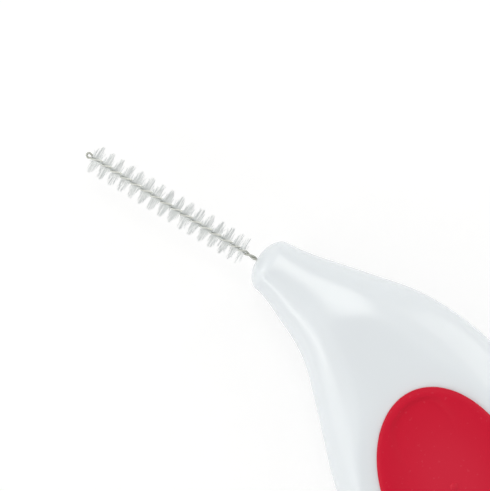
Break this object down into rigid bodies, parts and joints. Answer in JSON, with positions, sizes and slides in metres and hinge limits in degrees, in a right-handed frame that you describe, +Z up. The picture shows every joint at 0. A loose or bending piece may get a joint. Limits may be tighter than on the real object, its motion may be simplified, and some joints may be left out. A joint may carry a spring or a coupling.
{
  "type": "interdental brush",
  "caption": "Small hand-held interdental brush: a flat leaf-shaped handle bent at the neck, soft oval grip pads and a twisted wire brush.",
  "frame": {"origin": "middle of the rear pad's flat land, which the brush lies on", "axes": "+X along the handle towards the neck and brush, +Y to the side that the neck bends towards, +Z up, out of the thumb pad"},
  "size_m": [0.0601, 0.0257, 0.0073],
  "materials": {
    "handle_plastic": "satin-gloss white moulded polypropylene",
    "grip_rubber": "matt red soft-touch elastomer",
    "steel_wire": "drawn stainless wire",
    "filament": "translucent nylon filament"
  },
  "bodies": {
    "root": {"handle": "handle_plastic", "soft_grip": "grip_rubber", "wire_stem": "steel_wire", "bristles": "filament"}
  },
  "joints": []
}
